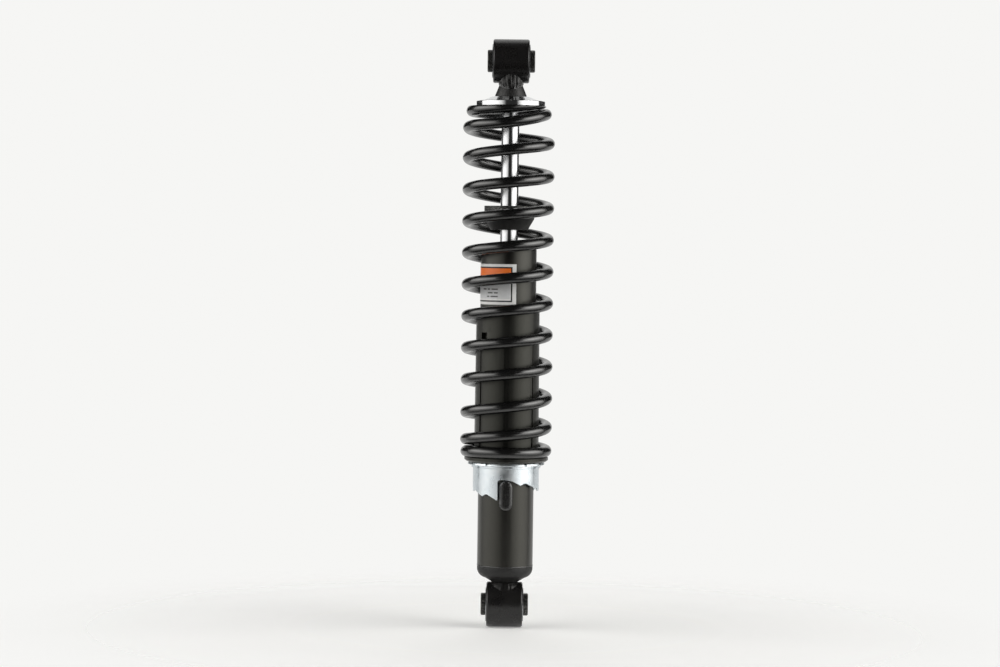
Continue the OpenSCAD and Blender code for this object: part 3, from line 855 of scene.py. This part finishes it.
def make_floor():
    """A pale floor that fades into the pale surroundings."""
    steps = 64
    height = cad_low.z - 0.2 * MM
    points = [(0, 0, height)]
    for i in range(steps):
        turn = 2 * math.pi * i / steps
        points.append((FLOOR_R * math.cos(turn), FLOOR_R * math.sin(turn), height))
    mesh = bpy.data.meshes.new("floor")
    mesh.from_pydata(points, [], [(0, 1 + i, 1 + (i + 1) % steps) for i in range(steps)])
    floor = bpy.data.objects.new("floor", mesh)
    bpy.context.scene.collection.objects.link(floor)
    material = bpy.data.materials.new("floor")
    material.use_nodes = True
    tree = material.node_tree
    shader = tree.nodes["Principled BSDF"]
    shader.inputs["Base Color"].default_value = (0.93, 0.93, 0.92, 1)
    shader.inputs["Roughness"].default_value = 0.9
    shader.inputs["Emission Color"].default_value = (0.9, 0.9, 0.89, 1)
    shader.inputs["Emission Strength"].default_value = 0.26
    clear = tree.nodes.new("ShaderNodeBsdfTransparent")
    blend = tree.nodes.new("ShaderNodeMixShader")
    place = tree.nodes.new("ShaderNodeTexCoord")
    distance = tree.nodes.new("ShaderNodeVectorMath")
    distance.operation = "LENGTH"
    fade = tree.nodes.new("ShaderNodeMapRange")
    fade.interpolation_type = "SMOOTHSTEP"
    fade.inputs["From Min"].default_value = FLOOR_FADE[0]
    fade.inputs["From Max"].default_value = FLOOR_FADE[1]
    tree.links.new(place.outputs["Object"], distance.inputs[0])
    tree.links.new(distance.outputs["Value"], fade.inputs["Value"])
    tree.links.new(fade.outputs["Result"], blend.inputs[0])
    tree.links.new(shader.outputs[0], blend.inputs[1])
    tree.links.new(clear.outputs[0], blend.inputs[2])
    tree.links.new(blend.outputs[0], tree.nodes["Material Output"].inputs["Surface"])
    mesh.materials.append(material)


# Radiance at eye level round the set, as (degrees from the camera's side, radiance)
LEFT_LIGHT = [(-108, 0.85), (-80, 1.2), (-58, 1.05), (-32, 0.65), (-18, 0.5)]
RIGHT_LIGHT = [(24, 0.75), (45, 1.25), (64, 1.75), (78, 1.6), (92, 1.2), (106, 1.0)]
# How it changes with height, as (degrees above the horizon, factor)
LIGHT_BY_HEIGHT = [(-24, 0), (-12, 0.7), (0, 1), (7, 1.4), (17, 2.7), (28, 2.7), (41, 1.4), (55, 0)]
DARK = 0.015
FRONT_DARK = 0.028                     # between the lights, where the room behind the camera shows
FRONT_SIDE, FRONT_UP = 40, 16          # how far that part reaches, in degrees
# The lights' inner edges lean out to these angles, over this range of height
LEFT_TOP, RIGHT_TOP = -36, 42
LEAN_START, LEAN_RANGE = 4, 18


def glow(side, up):
    """Radiance of the dome in a direction: two tall soft lights that lean apart towards the top."""
    lean = smooth_step((up - LEAN_START) / LEAN_RANGE)
    factor = line_at(LIGHT_BY_HEIGHT, up) or 0
    if LEFT_LIGHT[0][0] <= side <= mix(LEFT_LIGHT[-1][0], LEFT_TOP, lean):
        return DARK + factor * line_at(LEFT_LIGHT, side)
    if mix(RIGHT_LIGHT[0][0], RIGHT_TOP, lean) <= side <= RIGHT_LIGHT[-1][0]:
        return DARK + factor * line_at(RIGHT_LIGHT, side)
    return FRONT_DARK if abs(side) < FRONT_SIDE and abs(up) < FRONT_UP else DARK


def make_dome():
    """The lights and the dark room round them, open behind the object. The camera doesn't see the dome."""
    # it is open past so many degrees from the camera's side, up to so many degrees above the horizon
    openings = [(116, 0), (156, 72)]
    step, lowest = 4, -88
    columns, rows = 360 // step, -2 * lowest // step + 1
    points, glows = [], []
    for i in range(columns):
        side = -180 + step * i
        for j in range(rows):
            up = lowest + step * j
            turn, tilt = math.radians(side), math.radians(up)
            points.append((
                DOME_R * math.sin(turn) * math.cos(tilt), -DOME_R * math.cos(turn) * math.cos(tilt),
                DOME_R * math.sin(tilt),
            ))
            glows.append(glow(side, up))
    faces = []
    for face in strip_faces(columns, rows, close_rows=True, close_columns=False):
        sides = [-180 + step * (p // rows) for p in face]
        ups = [lowest + step * (p % rows) for p in face]
        is_open = any(min(map(abs, sides)) >= past and max(ups) <= below for past, below in openings)
        if not is_open:
            faces.append(face)
    mesh = bpy.data.meshes.new("dome")
    mesh.from_pydata(points, [], faces)
    mesh.attributes.new("glow", "FLOAT", "POINT").data.foreach_set("value", glows)
    dome = bpy.data.objects.new("dome", mesh)
    bpy.context.scene.collection.objects.link(dome)
    material = bpy.data.materials.new("dome")
    material.use_nodes = True
    tree = material.node_tree
    tree.nodes.remove(tree.nodes["Principled BSDF"])
    source = tree.nodes.new("ShaderNodeAttribute")
    source.attribute_name = "glow"
    light = tree.nodes.new("ShaderNodeEmission")
    light.inputs["Color"].default_value = LIGHT_TINT
    tree.links.new(source.outputs["Fac"], light.inputs["Strength"])
    tree.links.new(light.outputs[0], tree.nodes["Material Output"].inputs["Surface"])
    mesh.materials.append(material)
    dome.visible_camera = False


def make_camera():
    """The photograph's view: just above the middle of the object, from 2.25 m, a little rolled."""
    height, distance, aside = 0.265, 2.25, -0.0056
    pitch, roll = math.radians(-1.785), math.radians(0.75)
    data = bpy.data.cameras.new("camera")
    data.lens = 112.86
    data.sensor_width = 36
    data.clip_end = 50
    camera = bpy.data.objects.new("camera", data)
    bpy.context.scene.collection.objects.link(camera)
    look = Matrix.Rotation(math.radians(90) + pitch, 4, "X") @ Matrix.Rotation(roll, 4, "Z")
    camera.matrix_world = Matrix.Translation((aside, -distance, height)) @ look
    bpy.context.scene.camera = camera


def make_world():
    world = bpy.data.worlds.new("studio")
    world.use_nodes = True
    world.node_tree.nodes["Background"].inputs["Color"].default_value = (*WORLD_TONE, 1)
    bpy.context.scene.world = world
    bpy.context.scene.view_settings.view_transform = "Standard"


make_camera()
make_world()
make_floor()
make_dome()
